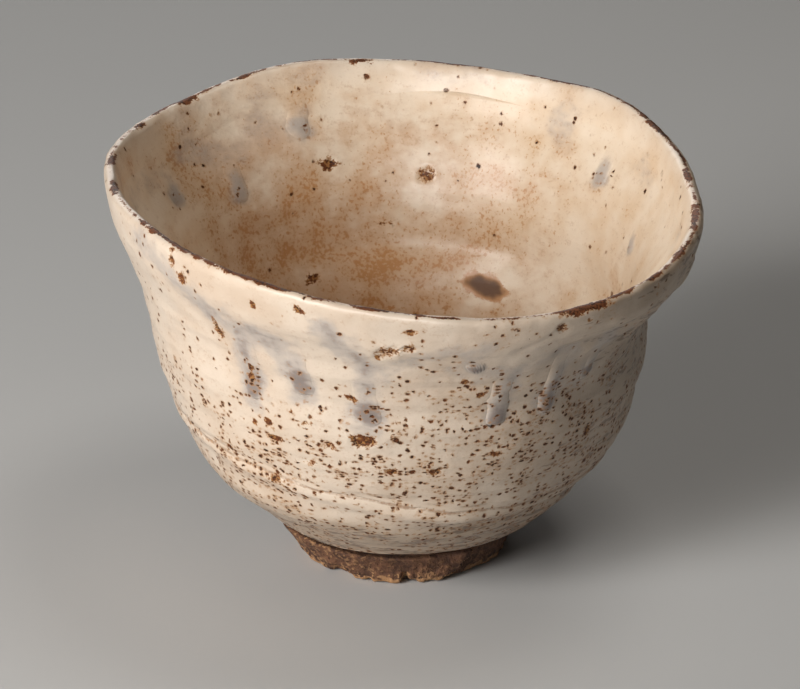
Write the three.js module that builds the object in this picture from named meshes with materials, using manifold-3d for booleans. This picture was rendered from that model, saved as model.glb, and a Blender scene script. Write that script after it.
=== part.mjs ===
// A hand-thrown tea bowl: a clay body on a cut foot ring, a cream glaze inside and out,
// and a second, greyer glaze dipped over the lip, whose hem sags into runs on both sides.
// Millimetres, +Z up. The origin is on the ground under the middle of the bowl.
// A bearing is an angle seen from above, counter-clockwise from +X; the front is at 270 degrees.

import * as THREE from "three";
import { mergeVertices } from "three/addons/utils/BufferGeometryUtils.js";
import Module from "manifold-3d";

// Overall sizes
const mouthRadius = 67;
const bowlHeight = 85.2;

// Foot
const footRadius = 23;
const footTopRadius = 25.3;
const footHeight = 7.2;
const footWall = 5.2;
const footEdgeRound = 0.7;
const footCutWave = 0.4;
const footCutHeight = 0.55;
const footFlare = 2;
const footTuck = 1.1;
const footFlareBearing = 205;
const nubHeight = 1.3;
const nubRadius = 6;
const nubShoulder = { out: 0.4, up: 0.8 };

// Walls, measured through clay and glaze together
const lipThickness = 3.6;
const lipRoundness = 0.45;
const wallThickness = 5.2;
const hipThickness = 6.2;
const floorThickness = 5.7;
const wallThinning = 26;

// Tea pool, the hollow in the middle of the floor
const poolRadius = 17.5;
const poolDepth = 1.4;
const poolApron = 7;
const poolBend = { out: 0.7, up: 0.12 };
const poolApronRise = 1.8;

// Coats of glaze, and the clearance that each piece keeps from what it lies on
const glazeThickness = 0.5;
const secondThickness = 0.4;
const bond = 0.3;
const lap = 0.55;
const lapStart = 1.5;
const lapEnd = 4.5;

// Where the coats end, as distances along the wall
const glazeLine = 1.9;
const glazeLineWave = 0.5;
const baseCoatBelowLip = 5;
const outsideHem = 16;
const insideHem = 12;
const hemWave = 2;
const hemWaves = 3;
const hemWavePhase = 1;
const hemRipple = 1.1;
const hemRipples = 8;

// The runs of the second coat: bearing of the middle, and how far it hangs below the hem
const outsideRuns = [
  { bearing: 48, drop: 12 },
  { bearing: 121, drop: 13 },
  { bearing: 234, drop: 13 },
  { bearing: 247, drop: 9 },
  { bearing: 262, drop: 15.5 },
  { bearing: 290, drop: 15 },
  { bearing: 302, drop: 17 },
];
const insideRuns = [
  { bearing: 18, drop: 11 },
  { bearing: 130, drop: 11 },
  { bearing: 148, drop: 7 },
  { bearing: 222, drop: 9 },
];
const runHalfWidth = 3.2;
const runBead = 0.45;
const beadStart = 0.5;
const beadEnd = 0.9;
const hemEdgeThickness = 0.16;

// The trimming ridge low on the wall, which dips to the right, and the soft throwing rings above it
const ridgeHeight = 31;
const ridgeDip = 6.5;
const ridgeHighBearing = 185;
const ridgeProud = 0.5;
const ridgeHalfWidth = 3;
const ridgeLean = 20;
const ringDepth = 0.3;
const ringPitch = 14;
const ringsStart = 16;
const ringsEnd = 50;
const ringsFade = 8;

// The outside as thrown: each pair is a share of the way from the foot's top to the lip, out and up
const outsideForm = [
  [0, 0],
  [0.12, 0.04],
  [0.22, 0.085],
  [0.47, 0.24],
  [0.66, 0.495],
  [0.74, 0.65],
  [0.84, 0.79],
  [0.955, 0.905],
  [1, 1],
];

// Where the inside wall is set off from the outside, as distances along the wall below the lip
const wallStations = [64, 50, 36, 22, 10, 0];

// The lip as pressed out of round by hand: radius and height every 22.5 degrees from bearing 0,
// as what it gains or loses on the thrown lip
const lipPress = [-4, -3.5, -0.5, 0.5, 1, 1.5, 2, 1, -3.5, -5, -4, -1, 1.5, 3.5, 4, 0.5];
const lipLift = [-0.6, -0.2, 1.2, 0.8, 1.7, 3, 0.1, -0.9, -0.3, 1.1, 0.8, -0.3, -2.8, -4.8, -3.5, -1.8];
const pressStart = 22;

// Chips knocked out of the foot's edge: bearing, radius of the chip, and how high it sits
const footChips = [
  { bearing: 236, size: 1.7, height: 0.3 },
  { bearing: 274, size: 1.2, height: -0.2 },
  { bearing: 296, size: 1.5, height: 0.2 },
  { bearing: 38, size: 1.6, height: 0 },
  { bearing: 131, size: 1.3, height: 0.1 },
];
const chipSpread = 1.3;
const chipRise = 0.8;

// How finely the pieces are divided: the length of a facet round the bowl and along the wall
const facetRound = 8.4;
const outsideFacet = 5.5;
const insideFacet = 7.5;
const runColumns = [-3.6, -1.4, 1.4, 3.6];
const leastColumnGap = 0.008;

const turn = 2 * Math.PI;
const { degToRad, smoothstep, lerp, clamp, euclideanModulo } = THREE.MathUtils;

// Curves of the section, as radius and height

const lipCap = lipRoundness * lipThickness;
const shoulder = new THREE.Vector2(footTopRadius + bond, footHeight + bond);
const outsideCurve = new THREE.SplineCurve(
  outsideForm.map(
    ([out, up]) =>
      new THREE.Vector2(lerp(shoulder.x, mouthRadius, out), lerp(shoulder.y, bowlHeight - lipCap, up)),
  ),
);

// A point at a distance below the lip along a curve, moved off it: plus is to the right of the way up.
function offCurve(curve, belowLip, offset) {
  const share = clamp(1 - belowLip / curve.getLength(), 0, 1);
  const point = curve.getPointAt(share);
  const along = curve.getTangentAt(share);
  return new THREE.Vector2(Math.max(point.x + along.y * offset, 0), point.y - along.x * offset);
}

function thicknessBelowLip(belowLip) {
  const wall = lerp(lipThickness, wallThickness, smoothstep(belowLip, 0, wallThinning));
  return lerp(wall, hipThickness, smoothstep(belowLip, wallThinning, wallStations[0]));
}

const poolFloor = footHeight + bond + floorThickness;
const insideCurve = new THREE.SplineCurve([
  new THREE.Vector2(0, poolFloor),
  new THREE.Vector2(poolBend.out * poolRadius, poolFloor + poolBend.up * poolDepth),
  new THREE.Vector2(poolRadius, poolFloor + poolDepth),
  new THREE.Vector2(poolRadius + poolApron, poolFloor + poolApronRise * poolDepth),
  ...wallStations.map((belowLip) => offCurve(outsideCurve, belowLip, -thicknessBelowLip(belowLip))),
]);

const outside = (belowLip, offset) => offCurve(outsideCurve, belowLip, offset);
const inside = (belowLip, offset) => offCurve(insideCurve, belowLip, -offset);

// Points over the top of the lip, from the outside to the inside, for a surface set off from the finished one
function overTheLip(offset, count) {
  const outer = outside(0, 0);
  const inner = inside(0, 0);
  const middle = outer.clone().add(inner).multiplyScalar(0.5);
  const halfWidth = outer.distanceTo(inner) / 2 + offset;
  const rise = lipCap + offset;
  return Array.from({ length: count }, (_, i) => {
    const angle = ((i + 1) / (count + 1)) * Math.PI;
    const across = halfWidth * Math.cos(angle);
    return new THREE.Vector2(middle.x + across, middle.y + rise * Math.sin(angle));
  });
}

// Shaping by hand, which moves every layer alike

// A value at a bearing, on a closed smooth curve through values at equal bearings
function aroundTheLip(values, bearing) {
  const place = (euclideanModulo(bearing, turn) / turn) * values.length;
  const first = Math.floor(place);
  const [a, b, c, d] = [-1, 0, 1, 2].map((step) => values[euclideanModulo(first + step, values.length)]);
  const t = place - first;
  return b + 0.5 * t * (c - a + t * (2 * a - 5 * b + 4 * c - d + t * (3 * (b - c) + d - a)));
}

function shapedByHand(point, bearing) {
  const rise = clamp((point.y - pressStart) / (bowlHeight - pressStart), 0, 1);
  const press = (rise * rise * aroundTheLip(lipPress, bearing)) / mouthRadius;
  const radius = point.x * (1 + press);
  const height = point.y + smoothstep(rise, 0, 1) * aroundTheLip(lipLift, bearing);
  return new THREE.Vector3(radius * Math.cos(bearing), radius * Math.sin(bearing), height);
}

// Revolves a closed section, with the section of its own bearing at each column.
function revolved(sectionAt, bearings) {
  const geometry = new THREE.LatheGeometry(sectionAt(0), bearings.length);
  const position = geometry.getAttribute("position");
  const rings = position.count / (bearings.length + 1);
  for (let column = 0; column <= bearings.length; column++) {
    const bearing = bearings[column % bearings.length];
    sectionAt(bearing).forEach((point, ring) => {
      const placed = shapedByHand(point, bearing);
      position.setXYZ(column * rings + ring, placed.x, placed.y, placed.z);
    });
  }
  geometry.deleteAttribute("normal");
  geometry.deleteAttribute("uv");
  const closed = mergeVertices(geometry, 1e-3);
  closed.computeVertexNormals();
  return closed;
}

const columns = Math.round((turn * mouthRadius) / facetRound);
const evenBearings = Array.from({ length: columns }, (_, i) => (i * turn) / columns);

function closedLoop(points) {
  return [...points, points[0].clone()];
}

// Distances from one value to another in equal steps, both ends included
function steps(from, to, count) {
  return Array.from({ length: count + 1 }, (_, i) => lerp(from, to, i / count));
}

// Runs and hems of the second coat

// The angle between two bearings, at most half a turn
function apart(bearing, otherDegrees) {
  return Math.abs(euclideanModulo(bearing - degToRad(otherDegrees) + Math.PI, turn) - Math.PI);
}

// How much of a run hangs at a bearing: 1 across its round end, and 0 beside it
function runShare(bearing, run) {
  const across = (apart(bearing, run.bearing) * mouthRadius) / runHalfWidth;
  return Math.exp(-(across ** 4));
}

function hemBelowLip(bearing, hem, runs) {
  const sag = runs.reduce((sum, run) => sum + run.drop * runShare(bearing, run), 0);
  const wave = hemWave * Math.sin(hemWaves * bearing + hemWavePhase);
  return hem + wave + hemRipple * Math.sin(hemRipples * bearing) + sag;
}

// A run ends in a fat drop, so the coat thickens towards the hem there.
function dropThickness(bearing, runs, shareOfHem) {
  const middle = Math.max(...runs.map((run) => runShare(bearing, run)));
  return runBead * middle * smoothstep(shareOfHem, beadStart, beadEnd);
}

// The second coat has the even columns of the other coats, and more of them across each run.
function bearingsWithRuns() {
  const across = [...outsideRuns, ...insideRuns].flatMap((run) =>
    runColumns.map((offset) => degToRad(run.bearing) + offset / mouthRadius),
  );
  const step = turn / columns;
  const offColumn = (bearing) => Math.abs(bearing - step * Math.round(bearing / step));
  const clear = across.filter((bearing) => offColumn(bearing) > leastColumnGap);
  return [...evenBearings, ...clear].sort((a, b) => a - b);
}

// Relief of the outside: the trimming ridge and the throwing rings

function ridgeAt(bearing) {
  return ridgeHeight + ridgeDip * Math.cos(bearing - degToRad(ridgeHighBearing));
}

function outsideRelief(height, bearing) {
  const fromRidge = (height - ridgeAt(bearing)) / ridgeHalfWidth;
  const ridge = ridgeProud * Math.exp(-fromRidge * fromRidge);
  const fadeIn = smoothstep(height, ringsStart, ringsStart + ringsFade);
  const fadeOut = 1 - smoothstep(height, ringsEnd - ringsFade, ringsEnd);
  const rings = ringDepth * Math.cos((height / ringPitch) * turn - bearing);
  return ridge + fadeIn * fadeOut * rings;
}

// Stations of the outside coat lean with the ridge, so that one of them runs along its crest.
function leaningStation(belowLip, bearing) {
  const height = outside(belowLip, 0).y;
  const nearRidge = Math.exp(-(((height - ridgeHeight) / ridgeLean) ** 2));
  return belowLip - nearRidge * (ridgeAt(bearing) - ridgeHeight);
}

// The pieces

const clayDepth = glazeThickness + bond;
const outsideLength = outsideCurve.getLength();
const insideLength = insideCurve.getLength();
const outsideRings = 2 * Math.round(outsideLength / (2 * outsideFacet));
const insideRings = Math.round(insideLength / insideFacet);

// The clay and the back of each base coat share these stations, so that the clearance between them is even.
const outsideBacked = steps(outsideLength - glazeLine, baseCoatBelowLip, outsideRings / 2);
const insideBacked = steps(insideLength, baseCoatBelowLip, insideRings);
const bareLip = [baseCoatBelowLip / 2, 0];

function clayBody() {
  const underside = [
    new THREE.Vector2(0, footHeight + bond - nubHeight),
    new THREE.Vector2(nubShoulder.out * nubRadius, footHeight + bond - nubShoulder.up * nubHeight),
    new THREE.Vector2(nubRadius, footHeight + bond),
    new THREE.Vector2(shoulder.x - clayDepth, shoulder.y),
  ];
  const outer = [...outsideBacked, ...bareLip].map((s) => outside(s, -clayDepth));
  const inner = [...insideBacked, ...bareLip].reverse().map((s) => inside(s, -clayDepth));
  inner[inner.length - 1].x = 0;
  return revolved(() => [...underside, ...outer, ...overTheLip(-clayDepth, 1), ...inner], evenBearings);
}

function outsideGlaze() {
  const back = [...outsideBacked].reverse().map((s) => outside(s, -glazeThickness));
  const sectionAt = (bearing) => {
    const bottom = outsideBacked[0] - glazeLineWave * Math.sin(2 * bearing) * Math.sin(3 * bearing);
    const face = steps(bottom, baseCoatBelowLip, outsideRings).map((s) => {
      const station = leaningStation(s, bearing);
      return outside(station, outsideRelief(outside(station, 0).y, bearing));
    });
    return closedLoop([...face, ...back]);
  };
  return revolved(sectionAt, evenBearings);
}

function insideGlaze() {
  const back = insideBacked.map((s) => inside(s, -glazeThickness));
  const face = insideBacked.map((s) => inside(s, 0)).reverse();
  back[0].x = 0;
  face[face.length - 1].x = 0;
  return revolved(() => [...back, ...face], evenBearings);
}

// The second coat lies on the clay at the lip and laps over the base coats below it.
function rimBack(belowLip) {
  return lerp(-glazeThickness, lap, smoothstep(belowLip, lapStart, lapEnd));
}

// One side of the second coat: its rings are shares of the way down to the hem at that bearing.
const outerSide = {
  at: outside,
  hem: outsideHem,
  runs: outsideRuns,
  faceShares: [0.97, 0.8, 0.45, 0.18, 0],
  backShares: [0.28, 0.52, 0.76, 1],
};
const innerSide = {
  at: inside,
  hem: insideHem,
  runs: insideRuns,
  faceShares: [0.97, 0.75, 0.35, 0],
  backShares: [0.4, 0.62, 0.82, 1],
};

function rimFace(side, bearing) {
  const hem = hemBelowLip(bearing, side.hem, side.runs);
  const tip = side.at(hem, rimBack(hem) + hemEdgeThickness);
  const rings = side.faceShares.map((share) => {
    const thickness = secondThickness + dropThickness(bearing, side.runs, share);
    return side.at(share * hem, rimBack(share * hem) + thickness);
  });
  return [tip, ...rings];
}

function rimUnderside(side, bearing) {
  const hem = hemBelowLip(bearing, side.hem, side.runs);
  const stations = [0, lapStart, lapEnd, ...side.backShares.map((share) => share * hem)];
  return stations.map((belowLip) => side.at(belowLip, rimBack(belowLip)));
}

function rimGlaze() {
  const sectionAt = (bearing) =>
    closedLoop([
      ...rimFace(outerSide, bearing),
      ...overTheLip(secondThickness - glazeThickness, 3),
      ...rimFace(innerSide, bearing).reverse(),
      ...rimUnderside(innerSide, bearing).reverse(),
      ...overTheLip(-glazeThickness, 1),
      ...rimUnderside(outerSide, bearing),
    ]);
  return revolved(sectionAt, bearingsWithRuns());
}

// The foot ring, with chips cut out of its edge

const wasm = await Module();
wasm.setup();

function solidOf(geometry) {
  const bare = geometry.index ? geometry.clone() : mergeVertices(geometry);
  bare.deleteAttribute("normal");
  bare.deleteAttribute("uv");
  const merged = mergeVertices(bare, 1e-4);
  return new wasm.Manifold(
    new wasm.Mesh({
      numProp: 3,
      vertProperties: new Float32Array(merged.getAttribute("position").array),
      triVerts: new Uint32Array(merged.index.array),
    }),
  );
}

function geometryOf(solid) {
  const mesh = solid.getMesh();
  const geometry = new THREE.BufferGeometry();
  geometry.setAttribute("position", new THREE.BufferAttribute(mesh.vertProperties, 3));
  geometry.setIndex(new THREE.BufferAttribute(mesh.triVerts, 1));
  geometry.computeVertexNormals();
  return geometry;
}

function footRing() {
  const boreTop = footTopRadius - footWall - 2 * footEdgeRound;
  const boreFoot = footRadius - footWall;
  const sectionAt = (bearing) => {
    const cut = footCutWave * Math.sin(2 * bearing + 1) * Math.sin(5 * bearing);
    const slant = Math.max(Math.cos(bearing - degToRad(footFlareBearing)), 0) ** 2;
    const ground = footRadius - footTuck * slant;
    const top = footTopRadius + footFlare * slant;
    return closedLoop([
      new THREE.Vector2(boreFoot + footEdgeRound, 0),
      new THREE.Vector2(ground - footEdgeRound, 0),
      new THREE.Vector2(ground, footEdgeRound),
      new THREE.Vector2(lerp(ground, top, 0.5) + cut, footCutHeight * footHeight),
      new THREE.Vector2(top - footEdgeRound, footHeight),
      new THREE.Vector2(boreTop, footHeight),
      new THREE.Vector2(boreFoot, footEdgeRound),
    ]);
  };
  let ring = solidOf(revolved(sectionAt, evenBearings));
  for (const chip of footChips) {
    const knock = new THREE.IcosahedronGeometry(chip.size, 1);
    knock.scale(1, chipSpread, chipRise);
    knock.translate(footRadius, 0, chip.height);
    knock.rotateZ(degToRad(chip.bearing));
    ring = ring.subtract(solidOf(knock));
  }
  return geometryOf(ring);
}

// Colours and gloss

const bareClay = { color: 0x6e5441, roughness: 0.95, metalness: 0 };
const bodyClay = { color: 0x7a5c45, roughness: 0.9, metalness: 0 };
const creamGlaze = { color: 0xd8c7ab, roughness: 0.38, metalness: 0 };
const innerCream = { color: 0xd6c2a2, roughness: 0.38, metalness: 0 };
const greyGlaze = { color: 0xb7aca3, roughness: 0.34, metalness: 0 };

function piece(name, geometry, finish) {
  const mesh = new THREE.Mesh(geometry, new THREE.MeshStandardMaterial(finish));
  mesh.name = name;
  return mesh;
}

const teaBowl = new THREE.Group();
teaBowl.name = "tea_bowl";
teaBowl.add(
  piece("clay_body", clayBody(), bodyClay),
  piece("foot_ring", footRing(), bareClay),
  piece("outside_glaze", outsideGlaze(), creamGlaze),
  piece("inside_glaze", insideGlaze(), innerCream),
  piece("rim_glaze", rimGlaze(), greyGlaze),
);

export default teaBowl;
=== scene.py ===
"""A hand-thrown tea bowl: clay body, bare foot, cream glaze inside and out, and a second dip over the lip.

Sizes in the text are millimetres and degrees. A bearing is an angle seen from above, counter-clockwise
from +X, so the front of the bowl is at 270. A way is a distance along the finished wall from the top of
the lip: minus down the outside, plus down the inside.
"""

import math

import bpy
import numpy as np
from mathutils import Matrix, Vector, noise


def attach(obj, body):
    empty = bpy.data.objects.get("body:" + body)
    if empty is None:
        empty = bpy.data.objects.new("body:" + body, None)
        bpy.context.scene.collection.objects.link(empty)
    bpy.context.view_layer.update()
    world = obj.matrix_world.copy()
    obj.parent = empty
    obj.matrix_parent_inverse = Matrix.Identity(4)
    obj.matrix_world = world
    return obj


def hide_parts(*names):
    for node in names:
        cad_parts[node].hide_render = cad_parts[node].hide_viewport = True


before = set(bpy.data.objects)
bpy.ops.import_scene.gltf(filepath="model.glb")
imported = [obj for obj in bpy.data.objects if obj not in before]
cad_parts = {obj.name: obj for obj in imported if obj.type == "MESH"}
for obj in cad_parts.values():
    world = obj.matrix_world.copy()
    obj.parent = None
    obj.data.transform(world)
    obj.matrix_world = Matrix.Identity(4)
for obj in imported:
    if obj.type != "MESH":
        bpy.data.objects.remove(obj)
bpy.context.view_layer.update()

MM = 0.001

# The thrown form, as it was on the wheel
MOUTH_RADIUS = 67
BOWL_HEIGHT = 85.2
FOOT_RADIUS = 23
FOOT_TOP_RADIUS = 25.3
FOOT_HEIGHT = 7.2
FOOT_WALL = 5.2
LIP_THICKNESS = 3.6
WALL_THICKNESS = 5.2
HIP_THICKNESS = 6.2
FLOOR_THICKNESS = 5.7
WALL_THINNING = 26
POOL_RADIUS = 17.5
POOL_DEPTH = 1.4
POOL_APRON = 7
JOINT = 0.3
OUTSIDE_FORM = [
    (0, 0), (0.12, 0.04), (0.22, 0.085), (0.47, 0.24), (0.66, 0.495),
    (0.74, 0.65), (0.84, 0.79), (0.955, 0.905), (1, 1),
]
WALL_STATIONS = [64, 50, 36, 22, 10, 0]

# How the hands pressed the lip out of round: every 22.5 degrees from bearing 0
LIP_PRESS = [-4, -3.5, -0.5, 0.5, 1, 1.5, 2, 1, -3.5, -5, -4, -1, 1.5, 3.5, 4, 0.5]
LIP_LIFT = [-0.6, 0.2, 1.6, 1.2, 2.2, 3, 0.1, -0.9, -0.3, 1.1, 0.8, -0.3, -2.8, -4.8, -3.5, -1.8]
PRESS_START = 22

# Coats of glaze, and the fine meshes: columns round the bowl, and millimetres from ring to ring
GLAZE = 0.8
GLAZE_LINE = 1.9
COLUMNS = 640
RING_STEP = 0.68
INSIDE_STEP = 0.75

# Bearings that are used again and again: the shaded right side, and the front left
RIGHT = 335
FRONT_LEFT = 262


def smooth(value, start, end):
    """0 before start, 1 after end, and an easy curve between them."""
    share = np.clip((value - start) / (end - start), 0, 1)
    return share * share * (3 - 2 * share)


def apart(bearing, other):
    """Degrees from one bearing to another, from -180 to 180."""
    return (bearing - other + 180) % 360 - 180


def hump(value, middle, reach):
    """1 at a middle, and falling away on both sides of it."""
    return np.exp(-(((value - middle) / reach) ** 2))


def toward(bearing, middle, spread):
    """1 at a bearing, and falling away round the bowl."""
    return hump(apart(bearing, middle), 0, spread)


def at_least(values, here, new):
    """The values, brought up to new ones where that is asked for."""
    return np.where(here, np.maximum(values, new), values)


def around(values, bearing):
    """A value at each bearing, on a closed smooth curve through values at equal bearings."""
    values = np.asarray(values, float)
    place = (bearing % 360) / 360 * len(values)
    first = np.floor(place).astype(int)
    a, b, c, d = (values[(first + step) % len(values)] for step in (-1, 0, 1, 2))
    t = place - first
    return b + 0.5 * t * (c - a + t * (2 * a - 5 * b + 4 * c - d + t * (3 * (b - c) + d - a)))


def drawn_line(points, steps=40):
    """A smooth line through a few points, as many short steps."""
    points = np.asarray(points, float)
    line = []
    for i in range(len(points) - 1):
        before, start, end, after = (points[min(max(i + k, 0), len(points) - 1)] for k in (-1, 0, 1, 2))
        for t in np.arange(steps) / steps:
            lead, trail = (end - before) / 2, (after - start) / 2
            line.append(
                (2 * start - 2 * end + lead + trail) * t**3
                + (3 * end - 3 * start - 2 * lead - trail) * t**2
                + lead * t
                + start
            )
    return np.array(line + [points[-1]])


def lengths(line):
    """The distance from the start of a line to each of its points."""
    return np.concatenate([[0], np.cumsum(np.hypot(*np.diff(line, axis=0).T))])


def on_line(line, distance):
    """Points at distances along a line."""
    along = lengths(line)
    return np.stack([np.interp(distance, along, line[:, k]) for k in (0, 1)], -1)


def normals(line):
    """Unit directions square to a line, to the right of the way along it."""
    tangent = np.gradient(line, axis=0)
    tangent /= np.linalg.norm(tangent, axis=1)[:, None]
    return np.stack([tangent[:, 1], -tangent[:, 0]], -1)


def thickness(below_lip):
    wall = LIP_THICKNESS + (WALL_THICKNESS - LIP_THICKNESS) * smooth(below_lip, 0, WALL_THINNING)
    return wall + (HIP_THICKNESS - wall) * smooth(below_lip, WALL_THINNING, WALL_STATIONS[0])


LIP_CAP = 0.45 * LIP_THICKNESS
SHOULDER = (FOOT_TOP_RADIUS + JOINT, FOOT_HEIGHT + JOINT)
POOL_FLOOR = FOOT_HEIGHT + JOINT + FLOOR_THICKNESS

# The section is kept as points this far apart, and its lip is softened over a few of them
WAY_STEP = 0.2
LIP_ROUNDING = 3
LIP_REACH = 40


def outside_line():
    """The outside on the wheel, from the foot's top to the lip."""
    low_r, low_z = SHOULDER
    top_z = BOWL_HEIGHT - LIP_CAP
    return drawn_line(
        [(low_r + out * (MOUTH_RADIUS - low_r), low_z + up * (top_z - low_z)) for out, up in OUTSIDE_FORM]
    )


def inside_line(outside):
    """The inside on the wheel, from the middle of the floor up the wall to the lip."""
    along, square = lengths(outside), normals(outside)
    wall = []
    for below in WALL_STATIONS:
        place = along[-1] - below
        off = np.array([np.interp(place, along, square[:, k]) for k in (0, 1)])
        wall.append(on_line(outside, place) - off * thickness(below))
    return drawn_line(
        [
            (0, POOL_FLOOR),
            (0.7 * POOL_RADIUS, POOL_FLOOR + 0.12 * POOL_DEPTH),
            (POOL_RADIUS, POOL_FLOOR + POOL_DEPTH),
            (POOL_RADIUS + POOL_APRON, POOL_FLOOR + 1.8 * POOL_DEPTH),
            *wall,
        ]
    )


def lip_cap(outer, inner):
    """The half round over the lip, from the outside to the inside."""
    angle = np.linspace(0, math.pi, 24)[1:-1]
    radius = (outer[0] + inner[0]) / 2 + np.hypot(*(outer - inner)) / 2 * np.cos(angle)
    height = (outer[1] + inner[1]) / 2 + LIP_CAP * np.sin(angle)
    return np.stack([radius, height], -1)


def finished_section():
    """The finished surface on the wheel, from the foot's top over the lip to the middle of the floor."""
    outside = outside_line()
    inside = inside_line(outside)
    line = np.concatenate([outside, lip_cap(outside[-1], inside[-1]), inside[::-1]])
    even = on_line(line, np.arange(0, lengths(line)[-1], WAY_STEP))
    blur = hump(np.arange(-3 * LIP_ROUNDING, 3 * LIP_ROUNDING + 1), 0, math.sqrt(2) * LIP_ROUNDING)
    blur /= blur.sum()
    soft = np.stack([np.convolve(even[:, k], blur, "same") for k in (0, 1)], -1)
    near_lip = np.argmax(even[:, 1]) + np.arange(-LIP_REACH, LIP_REACH + 1)
    even[near_lip] = soft[near_lip]
    return even


SECTION = finished_section()
SECTION_NORMAL = normals(SECTION)
SECTION_LENGTHS = lengths(SECTION)
SECTION_WAY = SECTION_LENGTHS - SECTION_LENGTHS[np.argmax(SECTION[:, 1])]
FOOT_WAY = SECTION_WAY[0]
FLOOR_WAY = SECTION_WAY[-1]


def pressed(radius, height, bearing):
    """Where the hands moved a thrown point: radius and height after pressing."""
    rise = np.clip((height - PRESS_START) / (BOWL_HEIGHT - PRESS_START), 0, 1)
    radius = radius * (1 + rise**2 * around(LIP_PRESS, bearing) / MOUTH_RADIUS)
    return radius, height + smooth(rise, 0, 1) * around(LIP_LIFT, bearing)


def surface(way, bearing, proud=0.0):
    """Radius and height on the bowl at a way and a bearing, standing proud of the finished surface."""
    point = [np.interp(way, SECTION_WAY, SECTION[:, k]) for k in (0, 1)]
    square = [np.interp(way, SECTION_WAY, SECTION_NORMAL[:, k]) for k in (0, 1)]
    return pressed(np.maximum(point[0] + square[0] * proud, 0), point[1] + square[1] * proud, bearing)


def stand_at(radius, height, bearing):
    turn = np.radians(bearing)
    return np.stack([radius * np.cos(turn), radius * np.sin(turn), height], -1)


def way_at(side, bearing, height):
    """The way to a height of the finished bowl at a bearing, on one side of the lip: -1 outside, 1 inside."""
    ways = np.arange(0.5, abs(FOOT_WAY if side < 0 else FLOOR_WAY), 0.5)
    heights = surface(side * ways, np.full(len(ways), float(bearing)))[1]
    return side * np.interp(height, heights[::-1], ways[::-1])


def clouds(points, size, seed=0):
    """Smooth noise from about -1 to 1, with features of about that size."""
    shift = 37.7 * seed
    return np.array([noise.noise((x / size + shift, y / size, z / size)) for x, y, z in points]) * 1.6


# Marks that the photograph shows, each at a bearing and a height of the finished bowl

# Runs of the second coat: side, bearing, height of the top and the end, half width, how far it is proud
RUNS = [
    (-1, 236.0, 72, 53.5, 2.7, 0.25),
    (-1, 248.3, 72, 57.5, 2.7, 0.25),
    (-1, 262.3, 66, 51.5, 2.9, 0.25),
    (-1, 283.5, 69, 66.0, 2.2, 0.45),
    (-1, 290.0, 66, 51.0, 2.4, 0.55),
    (-1, 301.5, 70, 51.8, 2.2, 0.6),
    (-1, 311.5, 68, 57.0, 2.0, 0.55),
    (-1, 47, 70, 56, 2.5, 0.6),
    (-1, 121, 70, 55, 2.6, 0.6),
    (-1, 160, 70, 60, 2.4, 0.5),
    (1, 149.5, 76, 67.0, 2.0, 0.35),
    (1, 131.4, 74, 63.0, 2.4, 0.4),
    (1, 113.0, 80, 73.0, 2.8, 0.35),
    (1, 38.5, 78, 69.5, 2.2, 0.35),
    (1, 15.5, 68, 61.0, 1.7, 0.45),
    (1, 222, 70, 62, 2.2, 0.4),
    (1, 260, 68, 60, 2.2, 0.4),
    (1, 305, 66, 59, 2.2, 0.4),
]

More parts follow.
